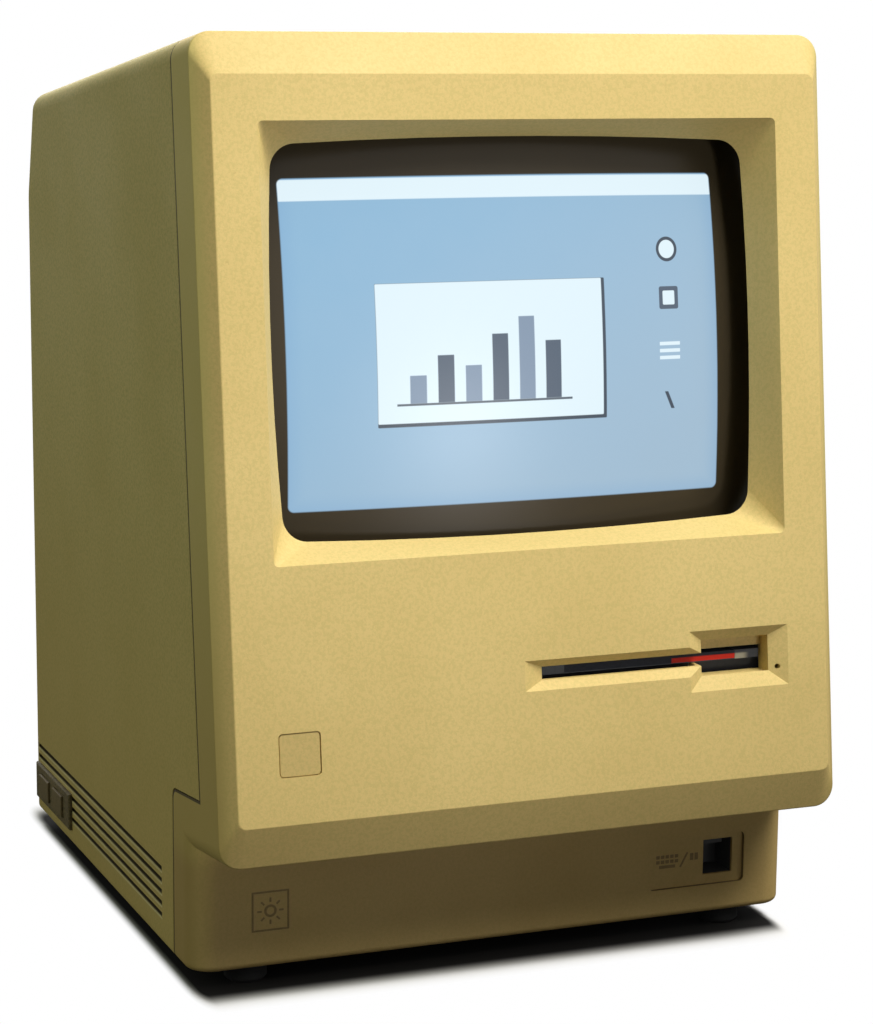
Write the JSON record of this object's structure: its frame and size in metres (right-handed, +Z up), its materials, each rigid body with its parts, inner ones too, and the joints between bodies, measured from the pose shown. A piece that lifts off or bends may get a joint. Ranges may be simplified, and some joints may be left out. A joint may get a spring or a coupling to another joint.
{
  "type": "all-in-one desktop computer",
  "caption": "Upright all-in-one desktop computer: leaning front with a framed picture tube over a diskette slot, socket and feet below, carrying handle in the top.",
  "frame": {"origin": "on the ground under the middle of the housing", "axes": "+X to the right as seen from the front, +Y to the back, +Z up; the front looks towards -Y"},
  "size_m": [0.2466, 0.2782, 0.3449],
  "materials": {
    "bezel_plastic": "moulded with a fine stipple, aged to a warm beige",
    "case_plastic": "moulded with a fine stipple, aged to a warm beige",
    "badge_finish": "smooth blank plate",
    "battery_sleeve": "printed sleeve, left plain",
    "spring_steel": "thin bright sheet",
    "foot_rubber": "matt",
    "black_screw": "blackened",
    "tube_glass": "polished faceplate, dark grey behind",
    "zinc_sheet": "zinc plated",
    "bright_screw": "zinc plated",
    "winding": "copper wire under varnish",
    "black_plastic": "moulded",
    "board_brown": "paper laminate",
    "board_green": "solder resist",
    "chip_black": "moulded epoxy",
    "socket_plastic": "moulded",
    "capacitor_sleeve": "shrunk sleeve",
    "aluminium_fins": "extruded",
    "pin_brass": "nickel plated",
    "wheel_plastic": "moulded",
    "button_plastic": "moulded",
    "cast_frame": "die cast",
    "motor_steel": "black-grey",
    "disk_plastic": "fine grain",
    "label_paper": "plain coloured paper",
    "port_steel": "tinned shell"
  },
  "bodies": {
    "housing": {"front_bezel": "bezel_plastic", "badge_plate": "badge_finish", "rear_case": "case_plastic", "battery": "battery_sleeve", "battery_contacts": "spring_steel", "front_feet": "foot_rubber", "rear_feet": "foot_rubber", "case_screws": "black_screw", "picture_tube": "tube_glass", "tube_band": "zinc_sheet", "tube_screws": "bright_screw", "deflection_yoke": "winding", "centring_rings": "black_plastic", "neck_board": "board_brown", "anode_cap": "foot_rubber", "chassis": "zinc_sheet", "chassis_screws": "bright_screw", "logic_board": "board_green", "processor": "chip_black", "rom_chips": "chip_black", "memory_chips": "chip_black", "support_chips": "chip_black", "push_switches": "black_plastic", "keyboard_jack": "socket_plastic", "port_posts": "bright_screw", "audio_jack": "black_plastic", "analog_bracket": "zinc_sheet", "analog_board": "board_brown", "flyback_transformer": "black_plastic", "filter_capacitors": "capacitor_sleeve", "heat_sink": "aluminium_fins", "speaker": "black_plastic", "power_inlet": "black_plastic", "inlet_pins": "pin_brass", "switch_body": "black_plastic", "brightness_pot": "black_plastic", "switch_clip": "case_plastic", "drive_bracket": "zinc_sheet", "drive_frame": "cast_frame", "drive_cover": "zinc_sheet", "spindle_motor": "zinc_sheet", "guide_rods": "bright_screw", "stepper_motor": "motor_steel", "eject_motor": "motor_steel", "mouse_port": "port_steel", "drive_port": "port_steel", "printer_port": "port_steel", "modem_port": "port_steel"},
    "brightness_wheel": {"brightness_wheel": "wheel_plastic"},
    "switch_rocker": {"switch_rocker": "black_plastic"},
    "battery_door": {"battery_door": "case_plastic"},
    "reset_button": {"reset_button": "button_plastic"},
    "interrupt_button": {"interrupt_button": "button_plastic"},
    "diskette": {"diskette_shell": "disk_plastic", "diskette_label": "label_paper"},
    "shutter": {"diskette_shutter": "spring_steel"},
    "disk_hub": {"diskette_hub": "spring_steel"},
    "spindle": {"spindle": "bright_screw"},
    "lead_screw": {"lead_screw": "bright_screw"},
    "carriage": {"head_carriage": "black_plastic"}
  },
  "joints": [
    {"name": "brightness_turn", "type": "hinge", "parent": "housing", "child": "brightness_wheel", "pos_m": [-0.092, -0.11337, 0.06296], "axis": [1, 0, 0], "range_deg": [-135, 135]},
    {"name": "power_rock", "type": "hinge", "parent": "housing", "child": "switch_rocker", "pos_m": [-0.095, 0.13225, 0.066], "axis": [-1, 0, 0], "range_deg": [0, 14]},
    {"name": "battery_door_swing", "type": "hinge", "parent": "housing", "child": "battery_door", "pos_m": [-0.095, 0.13725, 0.089], "axis": [-1, 0, 0], "range_deg": [0, 90]},
    {"name": "reset_press", "type": "slide", "parent": "housing", "child": "reset_button", "axis": [1, 0, 0], "range_m": [0, 0.0012], "stiffness_N_per_m": 300, "springref_m": -0.0015},
    {"name": "interrupt_press", "type": "slide", "parent": "housing", "child": "interrupt_button", "axis": [1, 0, 0], "range_m": [0, 0.0012], "stiffness_N_per_m": 300, "springref_m": -0.0015},
    {"name": "disk_slide", "type": "slide", "parent": "housing", "child": "diskette", "axis": [0, -1, 0], "range_m": [0, 0.03]},
    {"name": "shutter_slide", "type": "slide", "parent": "diskette", "child": "shutter", "axis": [1, 0, 0], "range_m": [0, 0.012]},
    {"name": "hub_spin", "type": "hinge", "parent": "diskette", "child": "disk_hub", "pos_m": [0.04725, -0.07807, 0.1149], "axis": [0, 0, 1], "continuous": true},
    {"name": "spindle_spin", "type": "hinge", "parent": "housing", "child": "spindle", "pos_m": [0.04725, -0.07807, 0.1119], "axis": [0, 0, 1], "continuous": true},
    {"name": "screw_turn", "type": "hinge", "parent": "housing", "child": "lead_screw", "pos_m": [0.01725, 0, 0.104], "axis": [0, 1, 0], "range_deg": [-1, 1801]},
    {"name": "carriage_slide", "type": "slide", "parent": "housing", "child": "carriage", "axis": [0, 1, 0], "range_m": [0, 0.015]}
  ],
  "couplings": [
    {"joint": "screw_turn", "follows": "carriage_slide", "rad_per_m": 2094.4},
    {"joint": "shutter_slide", "follows": "disk_slide", "ratio": 0.4},
    {"joint": "hub_spin", "follows": "spindle_spin", "ratio": 1}
  ]
}
